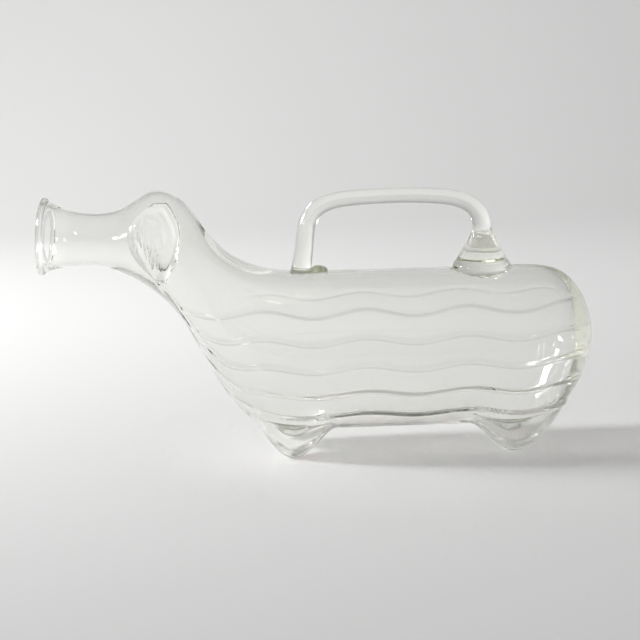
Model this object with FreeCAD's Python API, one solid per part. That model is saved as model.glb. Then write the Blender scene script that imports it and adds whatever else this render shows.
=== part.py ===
import FreeCAD, Part
import math
import os

# A one-litre carafe of clear blown glass in the shape of a standing animal. The body is a hollow bubble
# drawn out into a neck, a head and an open snout, with four hollow feet pulled down from it. Five wavy
# threads of glass run round the body. Two leaf-shaped ears and a solid rod handle are melted on, so that
# all of it is one piece of glass.
#
# X runs from the snout (-X) to the rear (+X), Z is up, and the four feet stand on Z = 0. The origin is
# under the middle of the carafe.

Vector = FreeCAD.Vector

# Body, neck and head. Each ring goes round the bubble through a low and a high point on its middle plane.
# low X, low Z, high X, high Z, half of the ring's width
RINGS = (
    (148.7, 60.0, 148.7, 60.0, 0.0),
    (147.8, 52.0, 147.8, 69.2, 8.2),
    (145.3, 44.0, 145.3, 78.2, 16.4),
    (141.2, 35.8, 141.2, 86.0, 24.0),
    (135.5, 26.8, 135.5, 92.6, 31.0),
    (127.9, 18.6, 127.9, 96.6, 36.8),
    (117.9, 14.2, 117.9, 98.3, 40.0),
    (104.9, 12.9, 104.9, 98.7, 41.0),
    (88.9, 12.7, 88.9, 98.7, 41.0),
    (70.9, 12.7, 70.9, 98.7, 41.0),
    (50.9, 12.7, 52.9, 98.7, 41.0),
    (29.9, 12.7, 38.9, 98.8, 41.0),
    (8.9, 12.8, 27.4, 98.9, 41.0),
    (-11.1, 13.4, 17.4, 99.0, 41.0),
    (-27.6, 15.2, 8.9, 99.1, 40.4),
    (-39.6, 20.8, 1.3, 99.2, 39.0),
    (-48.6, 31.0, -6.1, 99.3, 36.4),
    (-56.1, 43.0, -13.1, 99.7, 33.0),
    (-62.6, 55.0, -20.6, 100.5, 29.0),
    (-68.1, 66.0, -29.1, 102.2, 25.2),
    (-73.6, 76.0, -38.7, 105.6, 22.2),
    (-80.6, 84.5, -48.3, 111.5, 21.0),
    (-87.6, 91.2, -56.6, 120.2, 21.0),
    (-93.4, 95.6, -63.5, 130.2, 21.4),
    (-98.1, 98.6, -70.3, 139.0, 21.6),
    (-102.1, 100.8, -78.1, 144.6, 21.4),
    (-105.7, 102.6, -86.9, 145.6, 20.5),
    (-109.3, 104.2, -95.5, 141.4, 18.6),
    (-113.5, 105.4, -103.7, 136.6, 16.2),
    (-119.3, 106.2, -113.1, 134.7, 14.7),
    (-127.1, 106.3, -123.3, 135.1, 14.5),
    (-135.5, 105.9, -132.3, 137.1, 15.6),
    (-142.5, 104.7, -139.3, 140.2, 17.7),
    (-147.9, 103.2, -144.7, 142.8, 19.8),
)
# Control points round a ring, and rows of them from one ring to the next
RING_POINTS = 60
ROWS_PER_RING = 2

# Glass thickness: the bubble was gathered at the rear, where it stays thick, and the bend of the neck leaves
# more glass along the throat and the nape than on its sides.
WALL = 2.2
REAR_WALL = 5.6
REAR_WALL_RINGS = 7.0
FOOT_WALL = 3.4
FOOT_WALL_FROM = 12.0
NECK_WALL = 4.0
NECK_FROM_RING = 16.0
NECK_FIRST_FULL = 19.0
NECK_LAST_FULL = 23.0
NECK_TO_RING = 26.0
NECK_WALL_SPREAD = 17.0

# Feet: middle X, half of the spacing across, reach to the front, to the rear and across, depth of the pull
FOOT_SPACING = 20.0
FEET = (
    (-16.0, 25.0, 26.0, 23.0, 20.4),
    (104.4, 26.0, 33.0, 23.0, 18.8),
)
FOOT_PULL_FROM = 62.0
FOOT_PULL_FULL = 40.0

# Lip: a fire-polished bead round the open snout
LIP_BEAD = 1.6
LIP_OVERRUN = 4.0

# Threads: level and wave height of each, from the top one down
THREADS = (
    (81.5, 2.0),
    (67.0, 1.8),
    (52.5, 1.6),
    (38.0, 1.4),
    (25.0, 1.2),
)
THREAD_WIDTH = 2.6
THREAD_PROUD = 0.5
WAVE_LENGTH = 53.5
WAVE_CREST_X = 25.0
WAVE_STEPS = 8
THREAD_FRONT_X = -95.0
THREAD_REAR_X = 160.0
SLAB_REACH = 60.0

# Handle: the middle line of the rod in X and Z, with its radius. It rises from the shoulders, runs level
# over the back and comes down on a flared foot.
HANDLE = (
    (-8.5, 98.6, 5.6),
    (-7.7, 103.0, 5.3),
    (-6.3, 111.0, 5.0),
    (-5.3, 119.0, 4.9),
    (-3.7, 126.0, 4.7),
    (0.5, 132.2, 4.5),
    (7.5, 136.0, 4.3),
    (16.9, 137.8, 4.2),
    (31.5, 138.5, 4.1),
    (47.8, 138.6, 4.1),
    (62.9, 137.9, 4.2),
    (74.9, 136.3, 4.3),
    (83.5, 133.0, 4.6),
    (88.5, 127.4, 4.9),
    (90.3, 118.6, 5.2),
    (90.2, 115.4, 6.8),
    (90.1, 111.6, 8.6),
    (89.9, 107.4, 11.0),
    (89.7, 103.4, 13.2),
    (89.6, 99.8, 15.6),
    (89.5, 95.4, 16.0),
)
ROD_POINTS = 16
ROD_ROWS = 1
# Curl of glass left where the rod was first pressed on: middle, then half sizes
CURL = ((0.8, 0.0, 99.4), (6.2, 5.2, 4.0))

# Ears: from the top down, the middle X, distance of the outer face from the middle plane, height, half of the
# width and half of the thickness. Each is a pad of glass with steep sides, bent round the head.
EAR = (
    (-81.7, 15.0, 138.4, 4.5, 2.5),
    (-82.1, 19.2, 134.0, 9.0, 3.5),
    (-82.9, 22.2, 128.0, 11.8, 4.0),
    (-83.7, 24.0, 121.0, 12.8, 4.0),
    (-83.4, 24.6, 113.6, 12.1, 4.0),
    (-82.3, 24.4, 107.0, 9.8, 4.0),
    (-80.9, 23.9, 101.8, 6.8, 4.0),
    (-80.2, 22.4, 98.4, 2.6, 2.0),
)
EAR_BEND = 1.8
EAR_STEEPNESS = 0.7
EAR_POINTS = 24
EAR_ROWS = 1

# A block as wide as the floor under the carafe, which leaves each foot a small flat
FLOOR = 400.0
# How closely the edges of a skin and of its flat ends have to meet
FIX_TOLERANCE = 1e-4


def spline_value(values, position):
    """The smooth curve through evenly spaced values, at a position counted in values."""
    last = len(values) - 1
    start = min(int(position), last - 1)
    t = position - start
    before = values[start - 1] if start > 0 else 2 * values[0] - values[1]
    after = values[start + 2] if start + 2 <= last else 2 * values[last] - values[last - 1]
    a, b = values[start], values[start + 1]
    slope_a = (b - before) / 2
    slope_b = (after - a) / 2
    return (
        a * (2 * t**3 - 3 * t**2 + 1)
        + slope_a * (t**3 - 2 * t**2 + t)
        + b * (3 * t**2 - 2 * t**3)
        + slope_b * (t**3 - t**2)
    )


def row_positions(last, rows_per_step):
    """Where the rows of control points lie between 0 and last, closer together at both ends."""
    step = 1.0 / rows_per_step
    inner = [step * number for number in range(1, last * rows_per_step)]
    return [0.0, step / 3] + inner + [last - step / 3, float(last)]


def smooth_step(value, start, end):
    """0 before start, 1 after end, smooth between."""
    t = min(max((value - start) / (end - start), 0.0), 1.0)
    return t * t * (3 - 2 * t)


def skin(rows):
    """The smooth surface drawn by rows of control points, each row closed round the piece."""
    along = len(rows)
    around = len(rows[0])
    surface = Part.BSplineSurface()
    surface.buildFromPolesMultsKnots(
        rows,
        [4] + [1] * (along - 4) + [4],
        [1] * (around + 1),
        [float(number) for number in range(along - 2)],
        [float(number) for number in range(around + 1)],
        False,
        True,
        3,
        3,
    )
    return surface.toShape()


def skin_solid(rows):
    """A solid inside the skin that the rows draw, closed flat at each end that doesn't meet in a point."""
    face = skin(rows)
    ends = [edge for edge in face.Edges if edge.isClosed() and not edge.Degenerated]
    shell = Part.makeShell([face] + [Part.Face(Part.Wire([end])) for end in ends])
    solid = Part.makeSolid(shell)
    solid.fix(FIX_TOLERANCE, FIX_TOLERANCE, FIX_TOLERANCE)
    if solid.Volume < 0:
        solid.reverse()
    return solid


def foot_pull(x, y, z):
    """How far the glass at a point is drawn down for the feet."""
    pull = 0.0
    for foot_x, reach_front, reach_rear, reach_across, depth in FEET:
        along = (x - foot_x) / (reach_rear if x > foot_x else reach_front)
        across = (abs(y) - FOOT_SPACING) / reach_across
        away = along * along + across * across
        if away < 1:
            pull += depth * (1 - away) ** 2
    return pull * smooth_step(z, FOOT_PULL_FROM, FOOT_PULL_FULL)


def swell(points):
    """How much larger a ring of control points is than the ring that it draws."""
    return 3 / (2 + math.cos(2 * math.pi / points))


def body_point(position, angle):
    """A control point of the bubble. The angle runs from the low point of the ring, round the -Y side."""
    low_x, low_z, high_x, high_z, half_width = (spline_value(column, position) for column in zip(*RINGS))
    size = swell(RING_POINTS)
    x = (low_x + high_x) / 2 - size * (high_x - low_x) / 2 * math.cos(angle)
    z = (low_z + high_z) / 2 - size * (high_z - low_z) / 2 * math.cos(angle)
    y = -size * half_width * math.sin(angle)
    return Vector(x, y, z - foot_pull(x, y, z))


def body_rows(depth_at):
    """Control points of the bubble, from the rear to the lip, sunk under its outside by a depth at each."""
    turn = 2 * math.pi / RING_POINTS
    positions = row_positions(len(RINGS) - 1, ROWS_PER_RING)
    rows = [[body_point(position, turn * number) for number in range(RING_POINTS)] for position in positions]
    sunk = [[point - Vector(1, 0, 0) * depth_at(0.0, point) for point in rows[0]]]
    for index in range(1, len(rows)):
        row = rows[index]
        before = rows[index - 1]
        after = rows[min(index + 1, len(rows) - 1)]
        new_row = []
        for number, point in enumerate(row):
            across = row[(number + 1) % RING_POINTS] - row[number - 1]
            normal = across.cross(after[number] - before[number]).normalize()
            new_row.append(point - normal * depth_at(positions[index], point))
        sunk.append(new_row)
    return sunk


def wall_at(position, point):
    """The thickness of the glass at a point, with its position counted in rings from the rear."""
    rear = 1 - smooth_step(position, 0.0, REAR_WALL_RINGS)
    foot = smooth_step(-point.z, -FOOT_WALL_FROM, 0.0)
    along_neck = smooth_step(position, NECK_FROM_RING, NECK_FIRST_FULL)
    along_neck -= smooth_step(position, NECK_LAST_FULL, NECK_TO_RING)
    neck = along_neck * smooth_step(-abs(point.y), -NECK_WALL_SPREAD, 0.0)
    return WALL + (REAR_WALL - WALL) * rear + (FOOT_WALL - WALL) * foot + (NECK_WALL - WALL) * neck


def lip_plane():
    """The middle of the lip and the way it faces."""
    low_x, low_z, high_x, high_z, half_width = RINGS[-1]
    centre = Vector((low_x + high_x) / 2, 0, (low_z + high_z) / 2)
    return centre, Vector(low_z - high_z, 0, high_x - low_x).normalize()


def bubble(rows, overrun=0.0):
    """A solid inside the skin that the rows draw, closed flat across the lip or past it."""
    centre, facing = lip_plane()
    end_row = [point + facing * (overrun - (point - centre).dot(facing)) for point in rows[-1]]
    return skin_solid(rows[:-1] + [end_row])


def lip_bead():
    """The rounded bead of the lip."""
    centre, facing = lip_plane()
    return Part.makeTorus(RINGS[-1][4] - WALL / 2, LIP_BEAD, centre, facing)


def tube_rows(stations, points, rows_per_step):
    """Round rows along a middle line in the XZ plane, with a rounded end at both ends."""
    columns = list(zip(*stations))
    last = len(stations) - 1
    rows = []
    for position in row_positions(last, rows_per_step):
        x, z, radius = (spline_value(column, position) for column in columns)
        radius = radius * swell(points)
        ahead = min(position + 0.01, last)
        behind = max(position - 0.01, 0.0)
        way = Vector(
            spline_value(columns[0], ahead) - spline_value(columns[0], behind),
            0,
            spline_value(columns[1], ahead) - spline_value(columns[1], behind),
        ).normalize()
        side = Vector(way.z, 0, -way.x)
        rows.append(
            [
                Vector(x, 0, z)
                + side * radius * math.cos(2 * math.pi * number / points)
                + Vector(0, radius, 0) * math.sin(2 * math.pi * number / points)
                for number in range(points)
            ]
        )
    return rows


def handle():
    """The rod handle with its flared rear foot, and the curl at its front foot."""
    rod = skin_solid(tube_rows(HANDLE, ROD_POINTS, ROD_ROWS))
    middle, half_sizes = CURL
    ball = Part.makeSphere(1.0)
    stretch = FreeCAD.Matrix()
    stretch.scale(*half_sizes)
    stretch.move(Vector(*middle))
    return rod.fuse(ball.transformGeometry(stretch))


def steep(wave):
    """A sine or cosine squared up, for a section with a flat face and steep sides."""
    return math.copysign(abs(wave) ** EAR_STEEPNESS, wave)


def ear(side):
    """A pad of glass pressed on one side of the head. side is -1 or 1."""
    columns = list(zip(*EAR))
    last = len(EAR) - 1
    rows = []
    for position in row_positions(last, EAR_ROWS):
        x, face, z, half_width, half_thick = (spline_value(column, position) for column in columns)
        row = []
        for number in range(EAR_POINTS):
            angle = 2 * math.pi * number / EAR_POINTS
            bend = EAR_BEND * math.cos(angle) ** 2
            away = face - half_thick - bend + half_thick * steep(math.sin(angle))
            row.append(Vector(x + half_width * steep(math.cos(angle)), side * away, z))
        rows.append(row)
    return skin_solid(rows)


def wavy_slab(level, wave_height):
    """A slab as thick as a thread, waving along X, right across the carafe."""
    step = WAVE_LENGTH / WAVE_STEPS
    count = int((THREAD_REAR_X - THREAD_FRONT_X) / step) + 1
    wave = []
    for number in range(count):
        x = THREAD_FRONT_X + step * number
        wave.append((x, level + wave_height * math.cos(2 * math.pi * (x - WAVE_CREST_X) / WAVE_LENGTH)))
    curve = Part.BSplineCurve()
    curve.interpolate([Vector(x, -SLAB_REACH, z - THREAD_WIDTH / 2) for x, z in wave])
    low_edge = curve.toShape()
    high_edge = low_edge.translated(Vector(0, 0, THREAD_WIDTH))
    side = Part.makeRuledSurface(low_edge, high_edge)
    return side.extrude(Vector(0, 2 * SLAB_REACH, 0))


def threads():
    """The five wavy threads that stand proud of the body, each as a slice of a slightly larger body."""
    larger = bubble(body_rows(lambda position, point: -THREAD_PROUD))
    return [larger.common(wavy_slab(level, wave_height)) for level, wave_height in THREADS]


def carafe():
    """The whole carafe as one solid."""
    glass = bubble(body_rows(lambda position, point: 0.0))
    for piece in [handle(), ear(-1), ear(1)] + threads():
        glass = glass.fuse(piece)
    hollow = bubble(body_rows(wall_at), LIP_OVERRUN)
    glass = glass.cut(hollow).fuse(lip_bead())
    floor = Part.makeBox(FLOOR, FLOOR, FLOOR, Vector(-FLOOR / 2, -FLOOR / 2, -FLOOR))
    return glass.cut(floor).Solids[0]


os.makedirs("parts", exist_ok=True)
glass_carafe = carafe()
glass_carafe.exportStep("parts/glass_carafe.step")
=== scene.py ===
import math

import bmesh
import bpy
import numpy as np
from mathutils import Matrix, Vector
from mathutils.bvhtree import BVHTree


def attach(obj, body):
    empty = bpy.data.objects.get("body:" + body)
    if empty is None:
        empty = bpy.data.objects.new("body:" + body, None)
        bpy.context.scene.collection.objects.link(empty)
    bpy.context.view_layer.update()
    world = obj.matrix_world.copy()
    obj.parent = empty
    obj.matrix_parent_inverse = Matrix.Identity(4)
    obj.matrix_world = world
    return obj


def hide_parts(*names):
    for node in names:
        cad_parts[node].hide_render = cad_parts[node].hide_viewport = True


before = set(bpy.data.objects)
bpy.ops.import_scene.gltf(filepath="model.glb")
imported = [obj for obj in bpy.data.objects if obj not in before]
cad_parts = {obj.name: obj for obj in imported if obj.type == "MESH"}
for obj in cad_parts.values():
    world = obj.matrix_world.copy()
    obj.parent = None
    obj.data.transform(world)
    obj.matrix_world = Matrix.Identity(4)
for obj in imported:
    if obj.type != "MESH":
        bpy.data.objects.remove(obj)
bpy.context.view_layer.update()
MM = 0.001
NODE = "glass_carafe"


# ---------------------------------------------------------------------------------------------------
# The bubble: body, neck, head and open snout, with four hollow feet pulled down from it.
# One gather of clear soda-lime glass, blown thin and left thick at the rear where the pontil held it.
# Its outside, the fire-polished lip and its inside are one closed skin.
# ---------------------------------------------------------------------------------------------------

# Rings round the bubble, from the rear to the snout: low X, low Z, high X, high Z, half of the width
rings = MM * np.array(
    (
        (148.7, 60.0, 148.7, 60.0, 0.0),
        (147.8, 52.0, 147.8, 69.2, 8.2),
        (145.3, 44.0, 145.3, 78.2, 16.4),
        (141.2, 35.8, 141.2, 86.0, 24.0),
        (135.5, 26.8, 135.5, 92.6, 31.0),
        (127.9, 18.6, 127.9, 96.6, 36.8),
        (117.9, 14.2, 117.9, 98.3, 40.0),
        (104.9, 12.9, 104.9, 98.7, 41.0),
        (88.9, 12.7, 88.9, 98.7, 41.0),
        (70.9, 12.7, 70.9, 98.7, 41.0),
        (50.9, 12.7, 52.9, 98.7, 41.0),
        (29.9, 12.7, 38.9, 98.8, 41.0),
        (8.9, 12.8, 27.4, 98.9, 41.0),
        (-11.1, 13.4, 17.4, 99.0, 41.0),
        (-27.6, 15.2, 8.9, 99.1, 40.4),
        (-39.6, 20.8, 1.3, 99.2, 39.0),
        (-48.6, 31.0, -6.1, 99.3, 36.4),
        (-56.1, 43.0, -13.1, 99.7, 33.0),
        (-62.6, 55.0, -20.6, 100.5, 29.0),
        (-68.1, 66.0, -29.1, 102.2, 25.2),
        (-73.6, 76.0, -38.7, 105.6, 22.2),
        (-80.6, 84.5, -48.3, 111.5, 21.0),
        (-87.6, 91.2, -56.6, 120.2, 21.0),
        (-93.4, 95.6, -63.5, 130.2, 21.4),
        (-98.1, 98.6, -70.3, 139.0, 21.6),
        (-102.1, 100.8, -78.1, 144.6, 21.4),
        (-105.7, 102.6, -86.9, 145.6, 20.5),
        (-109.3, 104.2, -95.5, 141.4, 18.6),
        (-113.5, 105.4, -103.7, 136.6, 16.2),
        (-119.3, 106.2, -113.1, 134.7, 14.7),
        (-127.1, 106.3, -123.3, 135.1, 14.5),
        (-135.5, 105.9, -132.3, 137.1, 15.6),
        (-142.5, 104.7, -139.3, 140.2, 17.7),
        (-147.9, 103.2, -144.7, 142.8, 19.8),
    )
)
rear_ring, chest_ring, neck_ring = 7, 13, 21
last_ring = len(rings) - 1

# Feet: middle X, reach to the front, to the rear and across, depth of the pull
foot_spacing = 20.0 * MM
feet = MM * np.array(((-16.0, 25.0, 26.0, 23.0, 18.5), (104.4, 26.0, 33.0, 23.0, 17.6)))
# Glass above the first level isn't drawn down, and glass below the second is drawn down fully
foot_pull_from, foot_pull_full = 62.0 * MM, 40.0 * MM

# Thickness of the glass
wall = 1.8 * MM
rear_wall = 5.6 * MM
foot_wall = 3.0 * MM
neck_wall = 3.0 * MM
snout_wall = 1.3 * MM
lip_wall = 3.0 * MM

# Where the thickness changes, counted in rings: the stretch where it sets in, then the one where it ends
throat_starts, throat_ends = (19.5, 21.5), (25.0, 27.5)
nape_starts, nape_ends = (18.0, 20.0), (21.0, 23.0)
snout_starts = (20.0, 24.5)
lip_starts = (31.0, last_ring)
neck_wall_spread = 15.0 * MM
foot_wall_from = 12.0 * MM


def smooth_step(value, start, end):
    """0 before start, 1 after end, smooth between."""
    t = np.clip((value - start) / (end - start), 0.0, 1.0)
    return t * t * (3 - 2 * t)


def spline_at(table, positions):
    """The smooth curve through a table's evenly spaced rows, at positions counted in rows."""
    last = len(table) - 1
    padded = np.vstack((2 * table[0] - table[1], table, 2 * table[last] - table[last - 1]))
    start = np.minimum(positions.astype(int), last - 1)
    t = (positions - start)[:, None]
    before, a, b, after = (padded[start + step] for step in range(4))
    slope_a, slope_b = (b - before) / 2, (after - a) / 2
    return (
        a * (2 * t**3 - 3 * t**2 + 1)
        + slope_a * (t**3 - 2 * t**2 + t)
        + b * (3 * t**2 - 2 * t**3)
        + slope_b * (t**3 - t**2)
    )


def bubble_rows(positions, angles):
    """Points of the bubble's outside, one row for each ring position and one column for each angle."""
    low_x, low_z, high_x, high_z, half = (column[:, None] for column in spline_at(rings, positions).T)
    swing = np.cos(angles)[None, :]
    x = (low_x + high_x) / 2 - (high_x - low_x) / 2 * swing
    z = (low_z + high_z) / 2 - (high_z - low_z) / 2 * swing
    y = -half * np.sin(angles)[None, :]
    for foot_x, front, rear, across, depth in feet:
        along = (x - foot_x) / np.where(x > foot_x, rear, front)
        away = along**2 + ((np.abs(y) - foot_spacing) / across) ** 2
        z = z - depth * np.clip(1 - away, 0, 1) ** 2 * smooth_step(z, foot_pull_from, foot_pull_full)
    standing_z = np.maximum(z, 0.0)
    return np.stack((x, y, standing_z), axis=2)


def row_normals(points):
    """Outward unit normals of a closed grid of points."""
    around = np.roll(points, -1, axis=1) - np.roll(points, 1, axis=1)
    along = np.gradient(points, axis=0)
    normals = np.cross(around, along)
    normals[0] = (1.0, 0.0, 0.0)
    return normals / np.linalg.norm(normals, axis=2, keepdims=True)


def sunk(points, positions, angles, share):
    """The grid moved inward through a share of the wall."""
    rear = 1 - smooth_step(positions, 0.0, rear_ring)[:, None]
    foot = smooth_step(points[:, :, 2], foot_wall_from, 0.0)
    throat = (smooth_step(positions, *throat_starts) - smooth_step(positions, *throat_ends))[:, None]
    nape = (smooth_step(positions, *nape_starts) - smooth_step(positions, *nape_ends))[:, None]
    on_throat = np.cos(angles)[None, :] > 0
    near_middle = smooth_step(np.abs(points[:, :, 1]), neck_wall_spread, 0.0)
    neck = np.where(on_throat, throat, nape) * near_middle
    snout = smooth_step(positions, *snout_starts)[:, None]
    lip = smooth_step(positions, *lip_starts)[:, None]
    thickness = wall + (rear_wall - wall) * rear + (foot_wall - wall) * foot + (neck_wall - wall) * neck
    thickness = thickness + (snout_wall - wall) * snout + (lip_wall - snout_wall) * lip
    return points - row_normals(points) * (share * thickness)[:, :, None]


def lofted_faces(mesh, grid, close_end=True):
    """Skins a grid of points, closed round each row, and closes its start and, if asked, its end."""
    rows = [[mesh.verts.new(point) for point in row] for row in grid]
    for row, following in zip(rows, rows[1:]):
        for number in range(len(row)):
            mesh.faces.new((row[number - 1], row[number], following[number], following[number - 1]))
    closed_rows = (rows[0], rows[-1]) if close_end else (rows[0],)
    for row in closed_rows:
        middle = mesh.verts.new(sum((vert.co for vert in row), Vector()) / len(row))
        for number in range(len(row)):
            mesh.faces.new((row[number - 1], row[number], middle))
    return rows


def finished(mesh, name):
    """A smooth-shaded object of a mesh whose normals point outwards."""
    bmesh.ops.remove_doubles(mesh, verts=mesh.verts, dist=1e-6)
    bmesh.ops.recalc_face_normals(mesh, faces=mesh.faces)
    data = bpy.data.meshes.new(name)
    mesh.to_mesh(data)
    mesh.free()
    data.shade_smooth()
    made = bpy.data.objects.new(name, data)
    bpy.context.scene.collection.objects.link(made)
    return made


def stretches(*parts):
    """Even steps through stretches that follow each other: start, end and number of steps of each."""
    return np.concatenate([np.linspace(start, end, steps, endpoint=False) for start, end, steps in parts])


# Rows lie close together where threads cross them, at the rear and on the chest
positions = stretches(
    (0, rear_ring, 56),
    (rear_ring, chest_ring, 44),
    (chest_ring, neck_ring, 88),
    (neck_ring, last_ring, 56),
)
positions = np.append(positions, last_ring)

# Columns run from the belly up the -Y side and down the +Y side, close together on the flanks
flank_start, flank_end = math.radians(38), math.radians(136)
side_angles = stretches((0, flank_start, 14), (flank_start, flank_end, 104), (flank_end, math.pi, 14))
angles = np.concatenate((side_angles, 2 * math.pi - np.append(side_angles[1:], math.pi)[::-1]))

outside = bubble_rows(positions, angles)
inside = sunk(outside, positions, angles, 1.0)

# The lip: the wall's end drawn together into a round bead
low_x, low_z, high_x, high_z, lip_radius = rings[-1]
lip_centre = np.array(((low_x + high_x) / 2, 0.0, (low_z + high_z) / 2))
lip_facing = np.array((low_z - high_z, 0.0, high_x - low_x))
lip_facing /= np.linalg.norm(lip_facing)
bead = 2.0 * MM
bead_turns = np.radians(np.linspace(-50, 200, 19))
lip_out = outside[-1] - lip_centre
lip_out /= np.linalg.norm(lip_out, axis=1, keepdims=True)
bead_middle = lip_centre + lip_out * (lip_radius - wall / 2)
bead_rows = np.array(
    [
        bead_middle + bead * (math.cos(turn) * lip_out + math.sin(turn) * lip_facing)
        for turn in bead_turns
    ]
)

# The inside carries no threads, so every other row and column is enough for it
coarse = (slice(None, -2, 2), slice(None, None, 2))
bubble = bmesh.new()
on_outside = bubble.verts.layers.bool.new("on_outside")
outer = lofted_faces(bubble, np.concatenate((outside[:-1], bead_rows)), close_end=False)
for row in outer:
    for vert in row:
        vert[on_outside] = True
inner = lofted_faces(bubble, inside[coarse], close_end=False)
for number in range(len(inner[-1])):
    corners = (outer[-1][2 * number - 2], outer[-1][2 * number - 1], outer[-1][2 * number])
    bubble.faces.new((*corners, inner[-1][number], inner[-1][number - 1]))
carafe = finished(bubble, "glass_body")

# Clear glass: colourless where thin, faintly olive where thick, with the slow ripple that blowing leaves
glass = bpy.data.materials.new("clear_glass")
glass.use_nodes = True
nodes, links = glass.node_tree.nodes, glass.node_tree.links
shader = nodes["Principled BSDF"]
shader.inputs["Base Color"].default_value = (0.993, 0.993, 0.980, 1.0)
shader.inputs["Roughness"].default_value = 0.0
shader.inputs["IOR"].default_value = 1.5
shader.inputs["Transmission Weight"].default_value = 1.0
body_tint = nodes.new("ShaderNodeVolumeAbsorption")
body_tint.inputs["Color"].default_value = (0.80, 0.82, 0.60, 1.0)
body_tint.inputs["Density"].default_value = 7.0
links.new(body_tint.outputs["Volume"], nodes["Material Output"].inputs["Volume"])
where = nodes.new("ShaderNodeTexCoord")
ripple = nodes.new("ShaderNodeTexNoise")
ripple.inputs["Scale"].default_value = 28.0
ripple.inputs["Detail"].default_value = 1.0
links.new(where.outputs["Object"], ripple.inputs["Vector"])
relief = nodes.new("ShaderNodeBump")
relief.inputs["Strength"].default_value = 1.0
relief.inputs["Distance"].default_value = 0.6 * MM
links.new(ripple.outputs["Fac"], relief.inputs["Height"])
links.new(relief.outputs["Normal"], shader.inputs["Normal"])


# ---------------------------------------------------------------------------------------------------
# Five threads: hot glass trailed on round the body while it turned, then waved with a tool.
# They have sunk into the bubble, so each is a soft ridge along the flanks that climbs the chest. They sink
# away in the middle of chest and rear, and are almost flat on the +Y side.
# ---------------------------------------------------------------------------------------------------

# What each thread has of its own, from the top one down. It climbs the chest from Climb X on.
own_sizes = ("Level", "Wave Height", "Proud", "Climb X", "Climb")
threads = MM * np.array(
    (
        (81.5, 2.0, 0.75, -40.0, 0.0),
        (67.0, 1.8, 0.8, -40.0, 3.0),
        (52.5, 1.6, 1.3, -36.0, 7.5),
        (38.0, 1.4, 1.4, -34.0, 9.0),
        (25.0, 1.2, 1.3, -24.0, 6.0),
    )
)
# What all threads share. Far Share is what is left of their height on the +Y side.
shared_sizes = {
    "Half Width": 1.6 * MM,
    "Wave Length": 53.5 * MM,
    "Crest X": 25.0 * MM,
    "Climb Reach": 20.0 * MM,
    "Front X": -95.0 * MM,
    "Middle Gap": 6.0 * MM,
    "Far Share": 0.2,
}
# How far across the height changes from side to side, and from the middle gap to the flank
side_change, gap_change = 40.0 * MM, 20.0 * MM

trailing = bpy.data.node_groups.new("trailed_thread", "GeometryNodeTree")
trailing.interface.new_socket("Body", in_out="INPUT", socket_type="NodeSocketGeometry")
for size_name in (*own_sizes, *shared_sizes):
    trailing.interface.new_socket(size_name, in_out="INPUT", socket_type="NodeSocketFloat")
trailing.interface.new_socket("Glass", in_out="INPUT", socket_type="NodeSocketMaterial")
trailing.interface.new_socket("Body", in_out="OUTPUT", socket_type="NodeSocketGeometry")
given = trailing.nodes.new("NodeGroupInput")


def reckon(operation, *values, clamp=False):
    """The result of a Math node in the thread's tree, worked out from sockets or numbers."""
    node = trailing.nodes.new("ShaderNodeMath")
    node.operation = operation
    node.use_clamp = clamp
    for socket, value in zip(node.inputs, values):
        if isinstance(value, (int, float)):
            socket.default_value = value
        else:
            trailing.links.new(value, socket)
    return node.outputs[0]


place = trailing.nodes.new("ShaderNodeSeparateXYZ")
trailing.links.new(trailing.nodes.new("GeometryNodeInputPosition").outputs[0], place.inputs[0])
past_crest = reckon("SUBTRACT", place.outputs["X"], given.outputs["Crest X"])
turns = reckon("DIVIDE", past_crest, given.outputs["Wave Length"])
swing = reckon("COSINE", reckon("MULTIPLY", turns, 2 * math.pi))
wave = reckon("MULTIPLY", swing, given.outputs["Wave Height"])
past_climb = reckon("MAXIMUM", reckon("SUBTRACT", given.outputs["Climb X"], place.outputs["X"]), 0.0)
climbed = reckon("POWER", reckon("DIVIDE", past_climb, given.outputs["Climb Reach"]), 2.0)
climbed = reckon("MULTIPLY", climbed, given.outputs["Climb"])
middle_level = reckon("ADD", reckon("ADD", given.outputs["Level"], wave), climbed)
off_level = reckon("SUBTRACT", place.outputs["Z"], middle_level)
across = reckon("DIVIDE", reckon("ABSOLUTE", off_level), given.outputs["Half Width"])
inside_thread = reckon("SUBTRACT", 1.0, reckon("MULTIPLY", across, across), clamp=True)
height = reckon("MULTIPLY", reckon("MULTIPLY", inside_thread, inside_thread), given.outputs["Proud"])
behind_head = reckon("GREATER_THAN", place.outputs["X"], given.outputs["Front X"])
height = reckon("MULTIPLY", height, behind_head)
far_side = reckon("ADD", reckon("MULTIPLY", place.outputs["Y"], 1 / side_change), 0.5, clamp=True)
lost = reckon("MULTIPLY", far_side, reckon("SUBTRACT", 1.0, given.outputs["Far Share"]))
height = reckon("MULTIPLY", height, reckon("SUBTRACT", 1.0, lost))
off_middle = reckon("SUBTRACT", reckon("ABSOLUTE", place.outputs["Y"]), given.outputs["Middle Gap"])
height = reckon("MULTIPLY", height, reckon("MULTIPLY", off_middle, 1 / gap_change, clamp=True))
push = trailing.nodes.new("ShaderNodeVectorMath")
push.operation = "SCALE"
trailing.links.new(trailing.nodes.new("GeometryNodeInputNormal").outputs[0], push.inputs[0])
trailing.links.new(height, push.inputs["Scale"])
outer_skin = trailing.nodes.new("GeometryNodeInputNamedAttribute")
outer_skin.data_type = "BOOLEAN"
outer_skin.inputs["Name"].default_value = "on_outside"
lift = trailing.nodes.new("GeometryNodeSetPosition")
trailing.links.new(given.outputs["Body"], lift.inputs["Geometry"])
trailing.links.new(outer_skin.outputs["Attribute"], lift.inputs["Selection"])
trailing.links.new(push.outputs[0], lift.inputs["Offset"])
whole = trailing.nodes.new("GeometryNodeRealizeInstances")
trailing.links.new(lift.outputs[0], whole.inputs[0])
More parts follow.
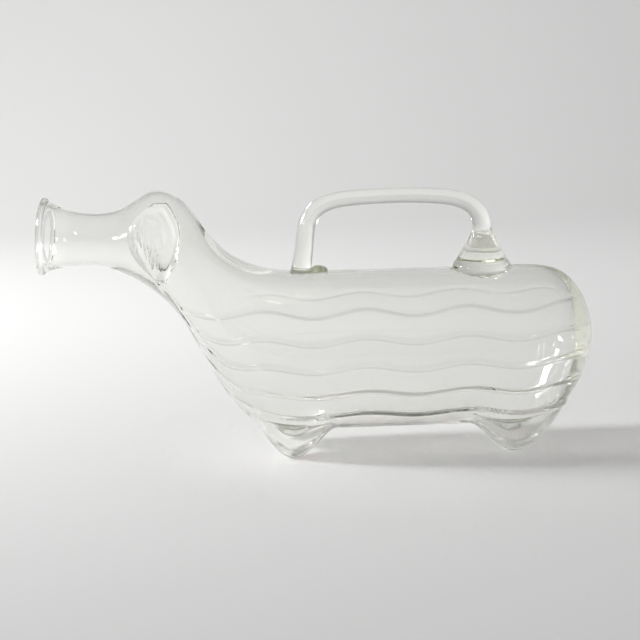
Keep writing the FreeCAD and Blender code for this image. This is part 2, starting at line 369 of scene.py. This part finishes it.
coated = trailing.nodes.new("GeometryNodeSetMaterial")
trailing.links.new(whole.outputs[0], coated.inputs["Geometry"])
trailing.links.new(given.outputs["Glass"], coated.inputs["Material"])
taken = trailing.nodes.new("NodeGroupOutput")
trailing.links.new(coated.outputs[0], taken.inputs[0])

inputs = {item.name: item.identifier for item in trailing.interface.items_tree if item.in_out == "INPUT"}
for number, thread in enumerate(threads):
    trail = carafe.modifiers.new(f"thread_{number}", "NODES")
    trail.node_group = trailing
    for size_name, size in {**dict(zip(own_sizes, thread)), **shared_sizes}.items():
        trail[inputs[size_name]] = float(size)
    trail[inputs["Glass"]] = glass


def plain(made):
    """Turns an object's evaluated shape into its own plain mesh."""
    evaluated = made.evaluated_get(bpy.context.evaluated_depsgraph_get())
    old, made.data = made.data, bpy.data.meshes.new_from_object(evaluated)
    made.modifiers.clear()
    bpy.data.meshes.remove(old)


plain(carafe)


# ---------------------------------------------------------------------------------------------------
# Handle: a solid rod of hot glass, pressed on at the shoulders, bent over and set down on a flared foot
# near the rear. A small curl of glass is left where it first touched.
# ---------------------------------------------------------------------------------------------------

# Middle line of the rod in X and Z, with its radius
rod = MM * np.array(
    (
        (-8.5, 98.6, 5.6),
        (-7.7, 103.0, 5.3),
        (-6.3, 111.0, 5.0),
        (-5.3, 119.0, 4.9),
        (-3.7, 126.0, 4.7),
        (0.5, 132.2, 4.5),
        (7.5, 136.0, 4.3),
        (16.9, 137.8, 4.2),
        (31.5, 138.5, 4.1),
        (47.8, 138.6, 4.1),
        (62.9, 137.9, 4.2),
        (74.9, 136.3, 4.3),
        (83.5, 133.0, 4.6),
        (88.5, 127.4, 4.9),
        (90.3, 118.6, 5.2),
        (90.2, 115.4, 6.8),
        (90.1, 111.6, 8.6),
        (89.9, 107.4, 11.0),
        (89.7, 103.4, 13.2),
        (89.6, 99.8, 15.6),
        (89.5, 95.4, 16.0),
    )
)
rod_steps = len(rod) - 1
rod_rows_per_step, rod_columns = 8, 40
rod_positions = np.linspace(0, rod_steps, rod_rows_per_step * rod_steps + 1)
rod_turns = np.linspace(0, 2 * math.pi, rod_columns, endpoint=False)
rod_line = spline_at(rod, rod_positions)
rod_way = np.gradient(rod_line[:, :2], axis=0)
rod_way /= np.linalg.norm(rod_way, axis=1, keepdims=True)
rod_grid = np.stack(
    (
        rod_line[:, 0, None] + rod_way[:, 1, None] * rod_line[:, 2, None] * np.cos(rod_turns),
        rod_line[:, 2, None] * np.sin(rod_turns),
        rod_line[:, 1, None] - rod_way[:, 0, None] * rod_line[:, 2, None] * np.cos(rod_turns),
    ),
    axis=2,
)
handle_mesh = bmesh.new()
lofted_faces(handle_mesh, rod_grid)
handle = finished(handle_mesh, "glass_handle")

# The rod's rounded front end and the curl beside it: middle X and Z, radius along X, Y and Z
lobes = MM * np.array(((-7.6, 99.2, 6.2, 6.2, 2.6), (0.8, 99.2, 5.4, 4.8, 3.2)))
curls = []
for number, (x, z, *radii) in enumerate(lobes):
    lobe = bmesh.new()
    shape = Matrix.Translation(Vector((x, 0.0, z))) @ Matrix.Diagonal((*radii, 1.0))
    bmesh.ops.create_uvsphere(lobe, u_segments=32, v_segments=20, radius=1.0, matrix=shape)
    curls.append(finished(lobe, f"glass_curl_{number}"))


# ---------------------------------------------------------------------------------------------------
# Ears: two gathers of hot glass pressed flat on the sides of the head with a tool, which has left streaks.
# Each is a thin pad with steep sides that follows the head, melted on all over and thickest at its tip.
# ---------------------------------------------------------------------------------------------------

# Outline from the top down: middle X, height, half of the width
ear_outline = MM * np.array(
    (
        (-84.0, 138.4, 4.0),
        (-85.4, 134.0, 8.2),
        (-86.2, 128.0, 11.5),
        (-86.0, 121.0, 12.3),
        (-85.6, 113.6, 11.0),
        (-84.6, 107.0, 8.2),
        (-83.2, 101.8, 5.0),
        (-82.2, 98.4, 2.2),
    )
)
ear_middle = np.array((-85.0, 118.0)) * MM
ear_top_thickness, ear_tip_thickness = 1.2 * MM, 2.6 * MM
ear_top_level, ear_tip_level = 134.0 * MM, 100.0 * MM
# How deep a pad reaches under the head's skin, before it is cut back
ear_depth = 3.0 * MM
ear_rows = 40
ear_line = spline_at(ear_outline, np.linspace(0, len(ear_outline) - 1, ear_rows))
ear_edge = np.concatenate(
    (
        np.stack((ear_line[:, 0] + ear_line[:, 2], ear_line[:, 1]), axis=1),
        np.stack((ear_line[:, 0] - ear_line[:, 2], ear_line[:, 1]), axis=1)[::-1],
    )
)
head_skin = BVHTree.FromObject(carafe, bpy.context.evaluated_depsgraph_get())
# How far out each ring of the pad lies, and its share of the thickness: level, then steep at the edge
pad_steepness = 8
pad_profile = [(share, math.sqrt(1 - share**pad_steepness)) for share in np.linspace(0.1, 0.98, 16)]
pad_profile += [(1.0, 0.0), (1.0, -1.0), (0.5, -1.0), (0.1, -1.0)]
ears = []
for side, name in ((-1, "glass_ear_left"), (1, "glass_ear_right")):
    ear_grid = []
    for share, raised in pad_profile:
        ring = []
        for x, z in ear_middle + share * (ear_edge - ear_middle):
            skin = head_skin.ray_cast(Vector((x, side, z)), Vector((0.0, -side, 0.0)))[0]
            to_tip = smooth_step(z, ear_top_level, ear_tip_level)
            thickness = ear_top_thickness + (ear_tip_thickness - ear_top_thickness) * to_tip
            ring.append((x, skin.y + side * raised * (thickness if raised > 0 else ear_depth), z))
        ear_grid.append(ring)
    ear_mesh = bmesh.new()
    lofted_faces(ear_mesh, ear_grid)
    ears.append(finished(ear_mesh, name))


def new_mapping(location, scale):
    """Object coordinates counted from a place, in units of a size."""
    mapping = nodes.new("ShaderNodeMapping")
    mapping.vector_type = "TEXTURE"
    mapping.inputs["Location"].default_value = location
    mapping.inputs["Scale"].default_value = scale
    links.new(where.outputs["Object"], mapping.inputs["Vector"])
    return mapping.outputs["Vector"]


# Size of the tool's streaks, their depth beside the ripple, and where they lie: middle and reach
streak_size = (3.0 * MM, 20.0 * MM, 14.0 * MM)
streak_depth = 1.7
streaked_middle = (-87.0 * MM, 0.0, 121.0 * MM)
streaked_reach = (10.5 * MM, 200.0 * MM, 16.0 * MM)

streaks = nodes.new("ShaderNodeTexNoise")
streaks.inputs["Scale"].default_value = 1.0
streaks.inputs["Detail"].default_value = 2.0
streaks.inputs["Distortion"].default_value = 0.6
links.new(new_mapping((0.0, 0.0, 0.0), streak_size), streaks.inputs["Vector"])
pad_area = nodes.new("ShaderNodeVectorMath")
pad_area.operation = "LENGTH"
links.new(new_mapping(streaked_middle, streaked_reach), pad_area.inputs[0])
on_pad = nodes.new("ShaderNodeMapRange")
on_pad.inputs["From Min"].default_value = 1.0
on_pad.inputs["From Max"].default_value = 0.7
links.new(pad_area.outputs["Value"], on_pad.inputs["Value"])
deep_streaks = nodes.new("ShaderNodeMath")
deep_streaks.operation = "MULTIPLY"
deep_streaks.inputs[1].default_value = streak_depth
links.new(streaks.outputs["Fac"], deep_streaks.inputs[0])
streak_height = nodes.new("ShaderNodeMath")
streak_height.operation = "MULTIPLY_ADD"
links.new(deep_streaks.outputs["Value"], streak_height.inputs[0])
links.new(on_pad.outputs["Result"], streak_height.inputs[1])
links.new(ripple.outputs["Fac"], streak_height.inputs[2])
links.new(streak_height.outputs["Value"], relief.inputs["Height"])


# ---------------------------------------------------------------------------------------------------
# Melting together: handle and ears are cut back to about the middle of the wall, then fused with the
# bubble, so that the carafe is one piece of glass with nothing in its cavity.
# ---------------------------------------------------------------------------------------------------


def fuse(target, operation, other):
    """Joins another closed mesh to the target, or takes it away."""
    joint = target.modifiers.new("joint", "BOOLEAN")
    joint.operation = operation
    joint.solver = "EXACT"
    joint.object = other
    plain(target)
    bpy.data.objects.remove(other)


cut_back_share = 0.55
core_mesh = bmesh.new()
lofted_faces(core_mesh, sunk(outside, positions, angles, cut_back_share)[coarse])
core = finished(core_mesh, "wall_middle")
for melted_on in curls + ears:
    fuse(handle, "UNION", melted_on)
fuse(handle, "DIFFERENCE", core)
fuse(carafe, "UNION", handle)
carafe.data.shade_smooth()
carafe.data.materials.clear()
carafe.data.materials.append(glass)

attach(carafe, "root")
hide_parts(NODE)


# ---------------------------------------------------------------------------------------------------
# Studio: a pale paper sweep. One soft light stands at the left, a little behind the carafe. A small one at
# the front left gives the highlights, a third lights the backdrop, and the room is dim.
# ---------------------------------------------------------------------------------------------------

sweep_front, sweep_back, sweep_bend, sweep_top, sweep_half_width = -1.6, 1.0, 0.6, 1.6, 3.0
bend_steps = 12
profile = [(sweep_front, 0.0), (0.0, 0.0)]
for step in range(bend_steps + 1):
    turn = math.radians(90 * step / bend_steps)
    profile.append((sweep_back + sweep_bend * math.sin(turn), sweep_bend * (1 - math.cos(turn))))
profile.append((sweep_back + sweep_bend, sweep_top))
sweep_mesh = bmesh.new()
edges = [[sweep_mesh.verts.new((side * sweep_half_width, y, z)) for y, z in profile] for side in (-1, 1)]
for number in range(len(profile) - 1):
    sweep_mesh.faces.new((edges[0][number], edges[1][number], edges[1][number + 1], edges[0][number + 1]))
sweep = finished(sweep_mesh, "paper_sweep")
paper = bpy.data.materials.new("pale_paper")
paper.use_nodes = True
paper.node_tree.nodes["Principled BSDF"].inputs["Base Color"].default_value = (0.80, 0.80, 0.79, 1.0)
paper.node_tree.nodes["Principled BSDF"].inputs["Roughness"].default_value = 0.9
sweep.data.materials.append(paper)


def soft_light(name, place, aim, size, power, spread=180.0):
    """A square area light turned to its aim, spreading by so many degrees."""
    data = bpy.data.lights.new(name, "AREA")
    data.size = size
    data.energy = power
    data.spread = math.radians(spread)
    lamp = bpy.data.objects.new(name, data)
    lamp.location = place
    lamp.rotation_euler = (Vector(aim) - Vector(place)).to_track_quat("-Z", "Y").to_euler()
    bpy.context.scene.collection.objects.link(lamp)


soft_light("left_softbox", (-1.6, 0.24, 0.75), aim=(0.0, 0.5, 0.15), size=0.37, power=13.0, spread=100.0)
soft_light("left_window", (-1.0, -0.7, 0.42), aim=(0.0, 0.0, 0.08), size=0.2, power=0.8)
soft_light("backdrop_lamp", (-1.4, 0.9, 0.8), aim=(-0.6, 1.6, 0.4), size=0.5, power=2.0)

world = bpy.data.worlds.new("room")
bpy.context.scene.world = world
world.use_nodes = True
world.node_tree.nodes["Background"].inputs["Color"].default_value = (0.98, 0.99, 1.0, 1.0)
world.node_tree.nodes["Background"].inputs["Strength"].default_value = 0.40

camera_data = bpy.data.cameras.new("camera")
camera_data.sensor_width = 36.0
camera_data.lens = 103.4
camera = bpy.data.objects.new("camera", camera_data)
aim = Vector((1.1, 0.0, 72.1)) * MM
elevation, roll, distance = math.radians(10.0), math.radians(2.0), 1.0
camera.location = aim + distance * Vector((0.0, -math.cos(elevation), math.sin(elevation)))
facing = (aim - camera.location).to_track_quat("-Z", "Y").to_matrix() @ Matrix.Rotation(-roll, 3, "Z")
camera.rotation_euler = facing.to_euler()
bpy.context.scene.collection.objects.link(camera)
bpy.context.scene.camera = camera
bpy.context.scene.view_settings.view_transform = "Standard"

# Light is passed on inside the glass many times before it comes out
cycles = bpy.context.scene.cycles
light_bounces = 48
cycles.max_bounces = light_bounces
cycles.glossy_bounces = light_bounces
cycles.transmission_bounces = light_bounces
# None of the lamps' light is held back as it comes through the glass, so the shadow has a light middle
cycles.sample_clamp_indirect = 0.0
cycles.blur_glossy = 0.0
